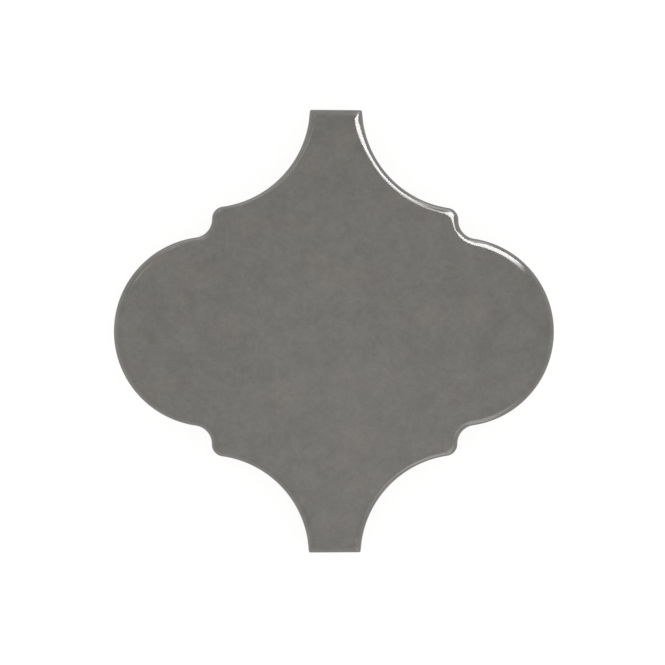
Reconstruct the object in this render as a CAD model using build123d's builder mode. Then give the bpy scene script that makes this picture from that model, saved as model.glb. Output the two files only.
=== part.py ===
"""Arabesque wall tile: one pressed and fired ceramic piece, lying on its ribbed back with its glazed face up.

Millimetres. The origin is the centre of the back plane, +Z points out of the glazed face, and +Y towards the
upper neck. The outline interlocks with its own copies: every curve of it lies half a grout joint inside one
shared module line, whose hollow beside the neck and whose side lobe are the same curve turned half round.
"""

import os
from math import acos, atan2, degrees, sqrt

from build123d import *

# Outline: driving dimensions
tile_width = 119.7  # from the tip of one side lobe to the other
tile_height = 120.3  # from one neck end to the other
neck_width = 14.2  # the flat end of each neck
joint = 1.7  # grout joint between this tile and its neighbours
step_rise = 7.8  # height of the step between the hollow and the lobe, on the module line
step_radius = 4.15  # the step's two small arcs, on the module line
neck_corner_radius = 0.5  # upright corners at the neck ends

# Section: driving dimensions
thickness = 9.0  # from the back plane to the glazed face
edge_radius = 1.8  # the rounded, glazed edge of the face
land_height = 1.0  # upright band of wall between the rounded edge and the draft
wall_draft = 2.0  # degrees by which the wall below the land leans in, for release from the die
back_chamfer = 0.2  # broken edge round the back

# Keyed back: driving dimensions
rim_width = 4.5  # plain rim round the keyed area, measured from the outline
channel_width = 6.0  # each recess that the adhesive fills
rib_width = 3.0  # each rib left standing between two recesses
channel_depth = 0.8
channel_corner = 1.0  # radius of the recesses' corners
channel_draft = 20.0  # degrees by which the recesses narrow as they go in

# Module line: the outline's own geometry with no joint taken off
module_width = tile_width + joint
module_height = tile_height + joint
module_neck = neck_width + joint
module_radius = (module_height / 2 - step_rise) / 2  # shared by the hollow and the lobe

# Centres of the four arcs of the upper right quarter
hollow_centre = Vector(module_neck / 2 + module_radius, module_height / 2)
lobe_centre = Vector(module_width / 2 - module_radius, 0)
step_middle = (hollow_centre + lobe_centre) / 2  # the half turn's centre, on the module line
to_hollow = hollow_centre - step_middle
bump_turn = acos(
    (to_hollow.length**2 - module_radius**2 - 2 * module_radius * step_radius)
    / (2 * to_hollow.length * step_radius)
)
bump_centre = step_middle + to_hollow.normalized().rotate(Axis.Z, degrees(bump_turn)) * step_radius
cove_centre = step_middle * 2 - bump_centre


def bearing(start, end):
    """Direction from one point to another, in degrees from +X."""
    return degrees(atan2(end.Y - start.Y, end.X - start.X))


def quarter_outline(inset):
    """The upper right quarter of the outline, moved inwards from the module line by inset."""
    end_height = module_height / 2 - inset
    hollow_radius = module_radius + inset
    end_half_width = hollow_centre.X - sqrt(hollow_radius**2 - inset**2)
    neck_corner = Vector(end_half_width, end_height)
    hollow_start = bearing(hollow_centre, neck_corner) % 360
    hollow_end = bearing(hollow_centre, bump_centre) % 360
    bump_start = bearing(bump_centre, hollow_centre)
    bump_end = bearing(bump_centre, cove_centre)
    cove_start = bearing(cove_centre, bump_centre) % 360
    cove_end = bearing(cove_centre, lobe_centre) % 360
    lobe_start = bearing(lobe_centre, cove_centre)
    Line((0, end_height), neck_corner)
    CenterArc(hollow_centre, hollow_radius, hollow_start, hollow_end - hollow_start)
    CenterArc(bump_centre, step_radius - inset, bump_start, bump_end - bump_start)
    CenterArc(cove_centre, step_radius + inset, cove_start, cove_end - cove_start)
    CenterArc(lobe_centre, module_radius - inset, lobe_start, -lobe_start)


# The tile's outline, half a joint inside the module line
with BuildSketch() as outline:
    with BuildLine():
        quarter_outline(joint / 2)
        mirror(about=Plane.XZ)
        mirror(about=Plane.YZ)
    make_face()
    for neck_end in (outline.vertices().group_by(Axis.Y)[0], outline.vertices().group_by(Axis.Y)[-1]):
        across = neck_end.sort_by(Axis.X)
        fillet([across[0], across[-1]], neck_corner_radius)

# Recesses of the keyed back: rows between the ribs, trimmed to the rim, with rounded corners
row_pitch = channel_width + rib_width
rows_each_side = int((tile_height / 2 - rim_width) / row_pitch)
with BuildSketch() as keyed_area:
    add(outline.sketch)
    offset(amount=-rim_width, mode=Mode.REPLACE)
with BuildSketch() as recesses:
    with GridLocations(0, row_pitch, 1, 2 * rows_each_side):
        Rectangle(tile_width, channel_width)
    add(keyed_area.sketch, mode=Mode.INTERSECT)
    offset(amount=-channel_corner, mode=Mode.REPLACE)
    offset(amount=channel_corner, mode=Mode.REPLACE)

# The pressed body: upright land under the face, drafted wall, rounded face edge and keyed back
land_level = thickness - edge_radius - land_height
with BuildPart() as tile:
    with BuildSketch(Plane.XY.offset(land_level)):
        add(outline.sketch)
    extrude(amount=thickness - land_level)
    extrude(tile.faces().sort_by(Axis.Z)[0], amount=land_level, taper=wall_draft)
    fillet(tile.faces().sort_by(Axis.Z)[-1].edges(), edge_radius)
    chamfer(tile.faces().sort_by(Axis.Z)[0].edges(), back_chamfer)
    add(recesses.sketch)
    extrude(amount=channel_depth, taper=channel_draft, mode=Mode.SUBTRACT)

tile.part.label = "tile"
os.makedirs("parts", exist_ok=True)
export_step(tile.part, "parts/tile.step")
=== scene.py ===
"""Looks of the arabesque wall tile: a glazed face with a soft rounded edge over a pale pressed body.

Metres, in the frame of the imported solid: the back plane is at z = 0, +Z points out of the glazed face
and +Y to the upper neck.
"""

from math import acos, atan2, cos, hypot, radians, sin, tan

import bmesh
import bpy
import numpy as np
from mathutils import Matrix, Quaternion, Vector, noise
from mathutils.geometry import delaunay_2d_cdt


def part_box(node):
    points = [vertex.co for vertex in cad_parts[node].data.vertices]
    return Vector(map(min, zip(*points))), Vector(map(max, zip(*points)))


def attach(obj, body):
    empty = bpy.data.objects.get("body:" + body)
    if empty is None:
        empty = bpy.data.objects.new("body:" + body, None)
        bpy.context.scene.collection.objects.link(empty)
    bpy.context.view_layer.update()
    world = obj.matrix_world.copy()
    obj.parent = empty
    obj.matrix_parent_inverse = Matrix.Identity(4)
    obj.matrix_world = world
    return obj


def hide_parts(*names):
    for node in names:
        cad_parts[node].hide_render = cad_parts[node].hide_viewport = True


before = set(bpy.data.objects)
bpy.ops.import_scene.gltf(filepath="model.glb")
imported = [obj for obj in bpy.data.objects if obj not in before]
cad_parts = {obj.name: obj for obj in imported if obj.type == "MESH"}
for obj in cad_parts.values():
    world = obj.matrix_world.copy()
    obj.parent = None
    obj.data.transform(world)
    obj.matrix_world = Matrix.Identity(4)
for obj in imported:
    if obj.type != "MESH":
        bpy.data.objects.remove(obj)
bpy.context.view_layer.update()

MM = 0.001
half_width, half_height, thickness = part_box("tile")[1]

# Outline, as the solid has it
neck_width = 14.2 * MM
joint = 1.7 * MM
step_rise = 7.8 * MM
step_radius = 4.15 * MM
corner_reach = 3.2 * MM  # box of the superellipse at each neck corner
corner_power = 15.0  # about as round as a 0.5 mm arc

# Section: the glaze fills out the solid's rounded face edge to a squarer curve
edge_reach = 2.6 * MM
edge_drop = 1.8 * MM
edge_power = 3.6
edge_ease = 4.4 * MM  # how far along the outline the inner end of the rounding is smoothed
crisp_reach = 10.0 * MM  # within this reach of the neck ends that smoothing fades away
land_height = 1.0 * MM
wall_draft = radians(2.0)
back_chamfer = 0.2 * MM

# Glaze: its form
crown = 0.02 * MM  # fall of the face from its middle to its outline
crown_reach = 5.0 * MM  # how far in from the outline that fall starts
neck_fall = 0.155 * MM  # how much further the face falls to the outline of the necks
neck_fall_foot = 46.0 * MM  # between these distances up or down from the tile's middle it grows
neck_fall_top = 57.0 * MM
neck_fall_start = 2.9 * MM  # between these distances from the outline the face falls
neck_fall_end = 0.5 * MM
glaze_depth = 0.12 * MM  # how far the glaze stands proud of the bare wall below it
glaze_lip = 0.3 * glaze_depth  # how far in and up the middle of the glaze's rounded lower edge lies
glaze_line = 0.5 * MM  # mean height of the glaze's lower edge above the foot of the land
glaze_waver = 0.25 * MM  # how far that edge strays up and down
glaze_waver_length = 9.0 * MM
glaze_waver_seed = 0.5

# Mesh
outline_step = 0.45 * MM  # length of the mesh's edges along the outline
least_arc_steps = 14  # on the shortest arcs
end_steps = 10  # on half a neck end
corner_steps = 14
rounding_steps = 40  # rings on the rounded face edge
rounding_samples = 2000
face_step = 1.3 * MM  # side of the face's triangles
face_row_share = sin(radians(60))  # distance between their rows, as a share of that side
face_margin = 0.6 * face_step  # how far the face's inner points keep from the rounding
keep_inside = 1  # the triangulation's setting that leaves out what lies outside the outline
weld = 0.001 * MM
crease = radians(35)  # edges bent by more than this stay sharp
glaze_slot = 0  # places of the two materials on the mesh
body_slot = 1

# Noise, where nothing else is said
noise_detail = 2.0  # how many finer sizes it has, each half as large as the one before
noise_evenness = 0.5  # strength of each size against the one before

# Glaze: its looks, with linear colours
glaze_warm_dark = (0.150, 0.141, 0.131, 1)
glaze_warm_light = (0.1995, 0.1875, 0.175, 1)
glaze_green_dark = (0.140, 0.139, 0.127, 1)
glaze_green_light = (0.188, 0.186, 0.171, 1)
cloud_size = 11.0 * MM
cloud_range = (0.3, 0.7)
grain_size = 7.5 * MM  # the coarsest of the grain's sizes
grain_detail = 5.0
grain_evenness = 1.0
grain_range = (0.32, 0.68)
gloss_size = 6.0 * MM
glaze_roughness = (0.03, 0.06)
glaze_ior = 1.5
peel_size = 12.0 * MM
peel_depth = 0.004 * MM

# Bare body: its looks, with linear colours
clay_dark = (0.62, 0.545, 0.45, 1)
clay_light = (0.76, 0.69, 0.59, 1)
clay_roughness = 0.9
sand_size = 0.35 * MM
sand_detail = 4.0
sand_range = (0.3, 0.7)
sand_depth = 0.05 * MM
wash_tone = (0.82, 0.79, 0.73, 1)
wash_top = 0.1 * MM  # the kiln wash lies on the ribs, and not in the recesses
wash_size = 5.0 * MM
wash_range = (0.3, 0.65)
mist_tone = (0.3, 0.28, 0.25, 1)
mist_foot = 3.0 * MM
mist_top = 6.5 * MM
mist_range = (0.4, 0.8)

# Floor, background and lights
floor_drop = 0.03 * MM
floor_lap = 0.55 * MM  # how far the floor reaches in under the tile's outline
floor_reach = 1.5  # half the floor's side
floor_tone = (0.8, 0.8, 0.8, 1)  # as it lights the tile
floor_shown_tone = (0.16, 0.16, 0.16, 1)  # as it is seen, together with its glow
floor_glow = 0.86
world_tone = (1, 1, 1, 1)
white_glow = 1.0  # strength at which the background shows white
card_aim = (20.0 * MM, 20.0 * MM, 9.0 * MM)
# Cards: lengths are in millimetres, half sizes reach to the middle of the faded edges, the roll is in radians
# about the line to the aim, and the taper narrows a card towards its top
cards = {
    "key_card": dict(
        centre=(168, 147, 462), half_size=(52, 100), fade=26, glow=19.2, roll=-0.274, taper=0.165
    ),
    "top_card": dict(centre=(160, 400, 395), half_size=(85, 220), fade=60, glow=3.5),
    "low_right_card": dict(centre=(180, -320, 440), half_size=(75, 280), fade=60, glow=2.8, roll=0.3),
    "lobe_card": dict(centre=(80, -70, 150), half_size=(20, 14), fade=14, glow=2.5),
    "left_card": dict(centre=(-140, 190, 440), half_size=(25, 50), fade=40, glow=2.2, roll=0.6),
    "low_left_card": dict(centre=(-125, 56, 450), half_size=(18, 18), fade=20, glow=2.0),
    "high_left_card": dict(centre=(-205, 410, 275), half_size=(95, 80), fade=50, glow=2.2),
    "overhead_card": dict(centre=(35, -80, 450), half_size=(80, 110), fade=160, glow=0.5),
}
ceiling_height = 500.0 * MM
ceiling_dim_reach = 200.0 * MM
ceiling_reach = 550.0 * MM
ceiling_sides = 64
ceiling_glow = 0.08

# Camera
lens = 85.0  # lens and sensor are in millimetres
sensor = 36.0
camera_place = (-21.91 * MM, 9.7 * MM, 433.5 * MM)
camera_tilt = (radians(-1.333), radians(-2.837), radians(0.161))  # from looking straight down

# Centres and radii of the outline's arcs: set out on the module line, then moved half a joint inside it
inset = joint / 2
module_radius = (half_height + inset - step_rise) / 2
hollow_centre = np.array([neck_width / 2 + inset + module_radius, half_height + inset])
lobe_centre = np.array([half_width + inset - module_radius, 0.0])
step_middle = (hollow_centre + lobe_centre) / 2
hollow_distance = hypot(*(hollow_centre - step_middle))
bump_turn = acos(
    (hollow_distance**2 - module_radius**2 - 2 * module_radius * step_radius)
    / (2 * hollow_distance * step_radius)
)


def bearing(start, end):
    """Direction from one point to another, in radians from +X."""
    return atan2(end[1] - start[1], end[0] - start[0])


bump_bearing = bearing(step_middle, hollow_centre) + bump_turn
bump_centre = step_middle + step_radius * np.array([cos(bump_bearing), sin(bump_bearing)])
cove_centre = 2 * step_middle - bump_centre
hollow_radius = module_radius + inset


def arc(centre, radius, start, end, outward):
    """Points along an arc without its first, and their outward normals; outward is 1 away from the centre."""
    count = max(least_arc_steps, round(abs(end - start) * radius / outline_step))
    angles = np.linspace(start, end, count + 1)[1:]
    directions = np.stack([np.cos(angles), np.sin(angles)], axis=1)
    return centre + radius * directions, outward * directions


def side_chain():
    """Hollow, bump, cove and lobe of the upper right quarter, from the neck to the lobe, with normals."""
    neck_drop = hollow_centre[1] - (half_height - corner_reach)
    hollow_start = np.pi + np.arcsin(neck_drop / hollow_radius)
    hollow_end = bearing(hollow_centre, bump_centre) % (2 * np.pi)
    bump_start = bearing(bump_centre, hollow_centre)
    bump_end = bearing(bump_centre, cove_centre)
    cove_start = bearing(cove_centre, bump_centre) % (2 * np.pi)
    cove_end = bearing(cove_centre, lobe_centre) % (2 * np.pi)
    lobe_start = bearing(lobe_centre, cove_centre)
    arcs = [
        arc(hollow_centre, hollow_radius, hollow_start, hollow_end, -1),
        arc(bump_centre, step_radius - inset, bump_start, bump_end, 1),
        arc(cove_centre, step_radius + inset, cove_start, cove_end, -1),
        arc(lobe_centre, module_radius - inset, lobe_start, 0.0, 1),
    ]
    points = np.concatenate([arc_points for arc_points, _ in arcs])
    normals = np.concatenate([arc_normals for _, arc_normals in arcs])
    return points, normals


side_points, side_normals = side_chain()
corner_turns = np.linspace(np.pi / 2, 0, corner_steps)


def quarter_ring(depth):
    """The upper right quarter of the outline moved in by depth, from the middle of the neck end on."""
    left = corner_reach - depth
    from_side = corner_reach - left * np.cos(corner_turns) ** (2 / corner_power)
    from_end = corner_reach - left * np.sin(corner_turns) ** (2 / corner_power)
    y = half_height - from_end
    x = hollow_centre[0] - np.sqrt((hollow_radius + from_side) ** 2 - (hollow_centre[1] - y) ** 2)
    end_x = np.linspace(0, x[0], end_steps + 1)[:-1]
    neck_end = np.stack([end_x, np.full(end_steps, half_height - depth)], axis=1)
    return np.concatenate([neck_end, np.stack([x, y], axis=1), side_points - depth * side_normals])


def ring(depth):
    """The whole outline moved in by depth, as points that run clockwise seen from the face."""
    right = quarter_ring(depth)
    right = np.concatenate([right, right[-2:0:-1] * (1, -1)])
    return np.concatenate([right, -right])


def eased_ring(depth):
    """The outline moved in by depth, smoothed the more the deeper it lies, as glaze flows."""
    loop = ring(depth)
    steps = np.linalg.norm(np.roll(loop, -1, axis=0) - loop, axis=1)
    along = np.cumsum(steps) - steps
    gaps = np.abs(along[:, None] - along)
    softness = np.clip((half_height - np.abs(loop[:, 1])) / crisp_reach, 0, 1) ** 2
    spread = np.maximum(edge_ease * softness * (depth / edge_reach) ** 2, weld)
    gaps = np.minimum(gaps, steps.sum() - gaps) / spread[:, None]
    weights = np.exp(-gaps * gaps / 2) * (steps + np.roll(steps, 1))
    return weights @ loop / weights.sum(axis=1, keepdims=True)


def height_noise(points, length, seed):
    """Smooth noise of about -1 to 1 over the given points."""
    return np.array([noise.noise(Vector((x / length, y / length, seed))) for x, y in points])


outline = ring(0.0)


def distance(points, loop):
    """How far each point lies from the nearest point of a loop."""
    return np.sqrt(((points[:, None, :] - loop[None, :, :]) ** 2).sum(axis=2)).min(axis=1)


def level_ends(share):
    """A rise from 0 to 1 that starts and ends level."""
    return share**2 * (3 - 2 * share)


def crown_fall(points):
    """How far the face has fallen below its middle at each point, for the glaze thins towards the edge."""
    gaps = distance(points, outline)
    near = np.clip(1 - gaps / crown_reach, 0, 1)
    up_neck = np.clip((np.abs(points[:, 1]) - neck_fall_foot) / (neck_fall_top - neck_fall_foot), 0, 1)
    shoulder = np.clip((neck_fall_start - gaps) / (neck_fall_start - neck_fall_end), 0, 1)
    return crown * near**2 + neck_fall * up_neck * level_ends(shoulder)


def edge_fall(shares):
    """Fall of the rounded edge below the face, at shares of its reach from its inner end to the outline."""
    return edge_drop * (1 - (1 - shares**edge_power) ** (1 / edge_power))


def rounding_shares():
    """Shares of the edge's reach at which its rings lie: closest together where it only starts to tilt."""
    shares = np.linspace(0, 1, rounding_samples)
    tilts = np.arctan2(np.diff(edge_fall(shares)), np.diff(shares) * edge_reach)
    wanted = np.pi / 2 * (np.arange(1, rounding_steps) / rounding_steps) ** 2
    middles = (shares[1:] + shares[:-1]) / 2
    return [*np.interp(wanted, tilts, middles), 1.0]


def recess_trays():
    """A mesh of the recesses in the solid's keyed back, each an open tray."""
    trays = bmesh.new()
    trays.from_mesh(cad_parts["tile"].data)
    bmesh.ops.remove_doubles(trays, verts=trays.verts, dist=weld)
    back_plane = [face for face in trays.faces if all(vert.co.z < weld for vert in face.verts)]
    bmesh.ops.delete(trays, geom=back_plane, context="FACES")
    reached = {max(trays.verts, key=lambda vert: vert.co.z)}
    front = set(reached)
    while front:
        front = {edge.other_vert(vert) for vert in front for edge in vert.link_edges} - reached
        reached |= front
    bmesh.ops.delete(trays, geom=list(reached), context="VERTS")
    return trays


def inside(points, loop, margin):
    """Which points lie inside a closed loop and at least margin away from it."""
    ahead = np.roll(loop, -1, axis=0)
    x, y = points[:, :1], points[:, 1:]
    spans = (loop[:, 1] > y) != (ahead[:, 1] > y)
    rise = np.where(ahead[:, 1] == loop[:, 1], 1.0, ahead[:, 1] - loop[:, 1])
    crossing = loop[:, 0] + (y - loop[:, 1]) / rise * (ahead[:, 0] - loop[:, 0])
    within = (spans & (x < crossing)).sum(axis=1) % 2 == 1
    return within & (distance(points, loop) > margin)


def tile_mesh():
    """The tile as one closed mesh, glazed above and bare below and at the back."""
    mesh = recess_trays()
    for face in mesh.faces:
        face.material_index = body_slot
    rim_edges = [edge for edge in mesh.edges if edge.is_boundary]

    def add_ring(points, heights):
        """New vertices over the points of a ring, at one height or at a height for each."""
        heights = np.broadcast_to(heights, len(points))
        return [mesh.verts.new((x, y, z)) for (x, y), z in zip(points, heights)]

    def join(upper, lower, material):
        """A band of faces between two rings."""
        for k in range(len(upper)):
            face = mesh.faces.new((upper[k], upper[k - 1], lower[k - 1], lower[k]))
            face.material_index = material

    # Face edge: from the inner end of the rounding down to the land
    shares = rounding_shares()
    rings = []
    for share in shares:
        points = eased_ring(edge_reach * (1 - share))
        rings.append(add_ring(points, thickness - crown_fall(points) - edge_fall(share)))

    # Wall: land down to the glaze's wavering edge, bare wall set back under it, draft and chamfer
    land_foot = thickness - edge_drop - land_height
    waver = glaze_waver * height_noise(outline, glaze_waver_length, glaze_waver_seed)
    edge_heights = land_foot + glaze_line + waver
    glaze_rings = [
        add_ring(outline, edge_heights + glaze_depth),
        add_ring(ring(glaze_lip), edge_heights + glaze_lip),
        add_ring(ring(glaze_depth), edge_heights),
    ]
    draft_low = (land_foot - back_chamfer) * tan(wall_draft)
    body_rings = [
        add_ring(ring(glaze_depth), land_foot - glaze_depth),
        add_ring(ring(draft_low), back_chamfer),
        add_ring(ring(draft_low + back_chamfer), 0.0),
    ]
    glazed = rings + glaze_rings
    for upper, lower in zip(glazed, glazed[1:]):
        join(upper, lower, glaze_slot)
    for upper, lower in zip(glaze_rings[-1:] + body_rings, body_rings):
        join(upper, lower, body_slot)

    # Face: triangles between the rounding's innermost ring and a grid of points
    last = eased_ring(edge_reach * (1 - shares[0]))
    grid = np.arange(-half_height, half_height, face_step)
    grid_x, grid_y = np.meshgrid(grid, grid * face_row_share)
    grid_x[::2] += face_step / 2
    candidates = np.stack([grid_x.ravel(), grid_y.ravel()], axis=1)
    candidates = candidates[inside(candidates, last, face_margin)]
    count = len(last)
    loop = [(k, (k + 1) % count) for k in range(count)]
    points = [Vector(point) for point in np.concatenate([last, candidates])]
    spots, _, triangles, origins, _, _ = delaunay_2d_cdt(points, loop, [], keep_inside, weld)
    xy = np.array([tuple(spot) for spot in spots])
    heights = thickness - crown_fall(xy)
    verts = []
    for k, spot in enumerate(spots):
        first = origins[k][0] if origins[k] else count
        verts.append(rings[0][first] if first < count else mesh.verts.new((spot.x, spot.y, heights[k])))
    for triangle in triangles:
        mesh.faces.new([verts[k] for k in triangle])

    # Back plane: triangles between the outer edge and the recesses
    back_ring = body_rings[-1]
    outer_edges = [mesh.edges.get(pair) for pair in zip(back_ring, back_ring[1:] + back_ring[:1])]
    filled = bmesh.ops.triangle_fill(mesh, use_beauty=True, edges=outer_edges + rim_edges, normal=(0, 0, -1))
    for face in filled["geom"]:
        if isinstance(face, bmesh.types.BMFace):
            face.material_index = body_slot
    bmesh.ops.recalc_face_normals(mesh, faces=mesh.faces)
    return mesh


def finished(name, mesh):
    """The named mesh data of a mesh that is built and no longer needed."""
    data = bpy.data.meshes.new(name)
    mesh.to_mesh(data)
    mesh.free()
    return data


def add_object(name, data):
    """A new object in the scene."""
    made = bpy.data.objects.new(name, data)
    bpy.context.scene.collection.objects.link(made)
    return made


tile_data = finished("arabesque_tile", tile_mesh())


# Materials


def add_node(tree, kind, inputs, **settings):
    """A new node: each input, named by its identifier, is linked to a socket or set to a value."""
    made = tree.nodes.new(kind)
    for name, value in settings.items():
        setattr(made, name, value)
    sockets = {socket.identifier: socket for socket in made.inputs}
    for name, value in inputs.items():
        if isinstance(value, bpy.types.NodeSocket):
            tree.links.new(value, sockets[name])
        else:
            sockets[name].default_value = value
    return made


def new_material(name):
    """A material's node tree, its main shader and its coordinates in metres."""
    material = bpy.data.materials.new(name)
    material.use_nodes = True
    tree = material.node_tree
    place = add_node(tree, "ShaderNodeTexCoord", {}).outputs["Object"]
    return material, tree, tree.nodes["Principled BSDF"], place


def speckle(tree, place, size, detail=noise_detail, evenness=noise_evenness):
    """Noise of about 0 to 1 with features of the given size and of finer ones."""
    inputs = {"Vector": place, "Scale": 1 / size, "Detail": detail, "Roughness": evenness}
    return add_node(tree, "ShaderNodeTexNoise", inputs).outputs[0]


def stretch(tree, value, start, end, low=0.0, high=1.0):
    """Maps start to end onto low to high, and holds the ends."""
    inputs = {"Value": value, "From Min": start, "From Max": end, "To Min": low, "To Max": high}
    return add_node(tree, "ShaderNodeMapRange", inputs).outputs[0]


def blend(tree, factor, first, second):
    """A colour between two colours."""
    inputs = {"Factor_Float": factor, "A_Color": first, "B_Color": second}
    return add_node(tree, "ShaderNodeMix", inputs, data_type="RGBA").outputs["Result"]


def combine(tree, operation, *values):
    """One number out of one or two."""
    inputs = dict(zip(("Value", "Value_001"), values))
    return add_node(tree, "ShaderNodeMath", inputs, operation=operation).outputs[0]


def relief(tree, height, depth):
    """A surface normal that stands for a relief of the given depth."""
    return add_node(tree, "ShaderNodeBump", {"Height": height, "Distance": depth}).outputs[0]


def glaze_material():
    """Warm grey gloss glaze: fine grain, faint clouds of warmer and greener grey and uneven gloss."""
    material, tree, shader, place = new_material("grey_glaze")
    clouds = stretch(tree, speckle(tree, place, cloud_size), *cloud_range)
    grain = stretch(tree, speckle(tree, place, grain_size, grain_detail, grain_evenness), *grain_range)
    dark = blend(tree, clouds, glaze_green_dark, glaze_warm_dark)
    light = blend(tree, clouds, glaze_green_light, glaze_warm_light)
    gloss = stretch(tree, speckle(tree, place, gloss_size), *cloud_range, *glaze_roughness)
    tree.links.new(blend(tree, grain, dark, light), shader.inputs["Base Color"])
    tree.links.new(gloss, shader.inputs["Roughness"])
    tree.links.new(relief(tree, speckle(tree, place, peel_size), peel_depth), shader.inputs["Normal"])
    shader.inputs["IOR"].default_value = glaze_ior
    return material


def body_material():
    """Pale fired clay: sandy grain, a mist of glaze below the glaze's edge and kiln wash on the ribs."""
    material, tree, shader, place = new_material("biscuit_body")
    height = add_node(tree, "ShaderNodeSeparateXYZ", {"Vector": place}).outputs["Z"]
    sand = speckle(tree, place, sand_size, sand_detail)
    clay = blend(tree, stretch(tree, sand, *sand_range), clay_dark, clay_light)
    wash = stretch(tree, height, wash_top, 0.0)
    wash = combine(tree, "MULTIPLY", wash, stretch(tree, speckle(tree, place, wash_size), *wash_range))
    clay = blend(tree, wash, clay, wash_tone)
    mist = stretch(tree, height, mist_foot, mist_top)
    mist = combine(tree, "MULTIPLY", mist, stretch(tree, sand, *mist_range))
    tree.links.new(blend(tree, mist, clay, mist_tone), shader.inputs["Base Color"])
    tree.links.new(relief(tree, sand, sand_depth), shader.inputs["Normal"])
    shader.inputs["Roughness"].default_value = clay_roughness
    return material


tile_data.materials.append(glaze_material())
tile_data.materials.append(body_material())
tile_data.shade_smooth()
tile_data.set_sharp_from_angle(angle=crease)
tile = add_object("arabesque_tile", tile_data)
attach(tile, "root")
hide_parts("tile")


# Stage


def background_rays(tree):
    """1 on rays that show the background, from the camera or by way of gloss and glass, and 0 on the rest."""
    path = add_node(tree, "ShaderNodeLightPath", {}).outputs
    shown = combine(tree, "MAXIMUM", path["Is Camera Ray"], path["Is Glossy Ray"])
    return combine(tree, "MAXIMUM", shown, path["Is Transmission Ray"])


def empty_material(name):
    """A new material and its node tree, with no nodes in it."""
    material = bpy.data.materials.new(name)
    material.use_nodes = True
    material.node_tree.nodes.clear()
    return material, material.node_tree


def floor_material():
    """A white floor that keeps a faint shadow and can't be seen from below."""
    material, tree = empty_material("white_floor")
    shown = background_rays(tree)
    tone = blend(tree, shown, floor_tone, floor_shown_tone)
    lit = add_node(tree, "ShaderNodeBsdfDiffuse", {"Color": tone}).outputs[0]
    strength = combine(tree, "MULTIPLY", shown, floor_glow)
    glow = add_node(tree, "ShaderNodeEmission", {"Strength": strength}).outputs[0]
    white = add_node(tree, "ShaderNodeAddShader", {"Shader": lit, "Shader_001": glow}).outputs[0]
    clear = add_node(tree, "ShaderNodeBsdfTransparent", {}).outputs[0]
    below = add_node(tree, "ShaderNodeNewGeometry", {}).outputs["Backfacing"]
    sides = {"Fac": below, "Shader": white, "Shader_001": clear}
    surface = add_node(tree, "ShaderNodeMixShader", sides).outputs[0]
    add_node(tree, "ShaderNodeOutputMaterial", {"Surface": surface})
    return material


def add_floor():
    """A floor just under the tile, open within its outline so that light reaches the back."""
    mesh = bmesh.new()
    corners = floor_reach * np.array([(-1, -1), (1, -1), (1, 1), (-1, 1)])
    loops = [ring(floor_lap), corners]
    edges = []
    for loop in loops:
        verts = [mesh.verts.new((x, y, -floor_drop)) for x, y in loop]
        edges += [mesh.edges.new((verts[k - 1], verts[k])) for k in range(len(verts))]
    bmesh.ops.triangle_fill(mesh, use_beauty=True, edges=edges, normal=(0, 0, 1))
    data = finished("floor", mesh)
    data.materials.append(floor_material())
    floor = add_object("floor", data)


def add_world():
    """Even white light from all round."""
    world = bpy.data.worlds.new("studio")
    world.use_nodes = True
    background = world.node_tree.nodes["Background"].inputs
    background["Color"].default_value = world_tone
    background["Strength"].default_value = white_glow
    bpy.context.scene.world = world


def add_reflected(name, data, place):
    """An object of the stage that only reflections show."""
    panel = add_object(name, data)
    panel.location = place
    panel.visible_camera = False
    panel.visible_diffuse = False
    panel.visible_shadow = False
    return panel


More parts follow.
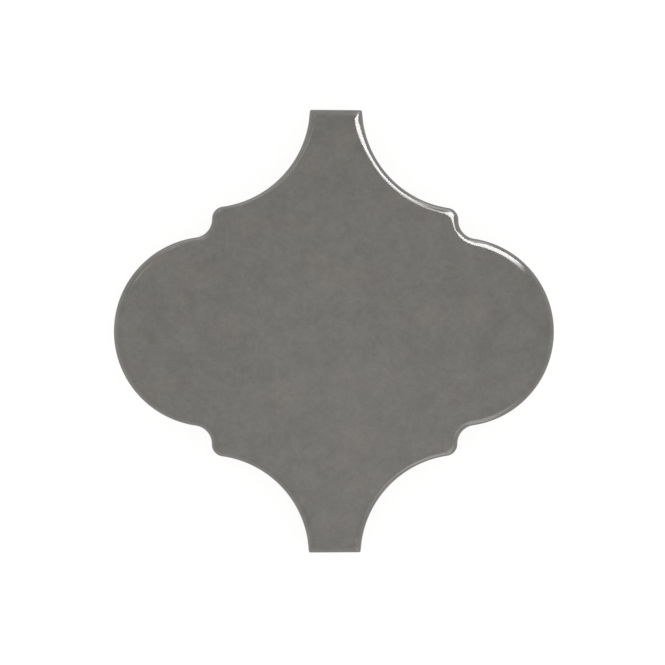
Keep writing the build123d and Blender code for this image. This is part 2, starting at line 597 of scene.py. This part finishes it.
def card_material(name, half_size, fade, glow, taper):
    """Light that fades out over a card's edges, and is narrower towards the top by the taper."""
    material, tree = empty_material(name)
    place = add_node(tree, "ShaderNodeTexCoord", {}).outputs["Object"]
    sides = add_node(tree, "ShaderNodeSeparateXYZ", {"Vector": place}).outputs
    sideways = combine(tree, "ABSOLUTE", sides["X"])
    sideways = combine(tree, "ADD", sideways, combine(tree, "MULTIPLY", sides["Y"], taper))
    strength = glow
    for away, half in zip((sideways, combine(tree, "ABSOLUTE", sides["Y"])), half_size):
        strength = combine(tree, "MULTIPLY", stretch(tree, away, half + fade / 2, half - fade / 2), strength)
    light = add_node(tree, "ShaderNodeEmission", {"Strength": strength}).outputs[0]
    clear = add_node(tree, "ShaderNodeBsdfTransparent", {}).outputs[0]
    surface = add_node(tree, "ShaderNodeAddShader", {"Shader": light, "Shader_001": clear}).outputs[0]
    add_node(tree, "ShaderNodeOutputMaterial", {"Surface": surface})
    return material


def add_card(name, centre, half_size, fade, glow, roll=0.0, taper=0.0):
    """A lit card that faces the tile, with its lengths given in millimetres."""
    centre = np.array(centre) * MM
    half_size = np.array(half_size) * MM
    fade = fade * MM
    across, up = half_size + fade / 2
    across += taper * up
    corners = [(-across, -up, 0), (across, -up, 0), (across, up, 0), (-across, up, 0)]
    data = bpy.data.meshes.new(name)
    data.from_pydata(corners, [], [range(len(corners))])
    data.materials.append(card_material(name, half_size, fade, glow, taper))
    card = add_reflected(name, data, centre)
    facing = (Vector(card_aim) - Vector(centre)).to_track_quat("Z", "Y")
    card.rotation_euler = (facing @ Quaternion((0, 0, 1), roll)).to_euler()


def add_ceiling():
    """A dim disc overhead that only reflections show, and that brightens outwards to white."""
    mesh = bmesh.new()
    bmesh.ops.create_circle(mesh, cap_ends=True, segments=ceiling_sides, radius=ceiling_reach)
    data = finished("ceiling", mesh)
    material, tree = empty_material("dim_ceiling")
    place = add_node(tree, "ShaderNodeTexCoord", {}).outputs["Object"]
    away = add_node(tree, "ShaderNodeVectorMath", {"Vector": place}, operation="LENGTH").outputs["Value"]
    strength = stretch(tree, away, ceiling_dim_reach, ceiling_reach, ceiling_glow, white_glow)
    light = add_node(tree, "ShaderNodeEmission", {"Strength": strength}).outputs[0]
    add_node(tree, "ShaderNodeOutputMaterial", {"Surface": light})
    data.materials.append(material)
    ceiling = add_reflected("ceiling", data, (0, 0, ceiling_height))


def add_camera():
    """A long lens that looks down on the face, with the upper neck at the top of the picture."""
    data = bpy.data.cameras.new("camera")
    data.lens = lens
    data.sensor_width = sensor
    camera = add_object("camera", data)
    camera.location = camera_place
    camera.rotation_euler = camera_tilt
    bpy.context.scene.camera = camera


bpy.context.scene.view_settings.view_transform = "Standard"
add_floor()
add_world()
for card_name, card_values in cards.items():
    add_card(card_name, **card_values)
add_ceiling()
add_camera()
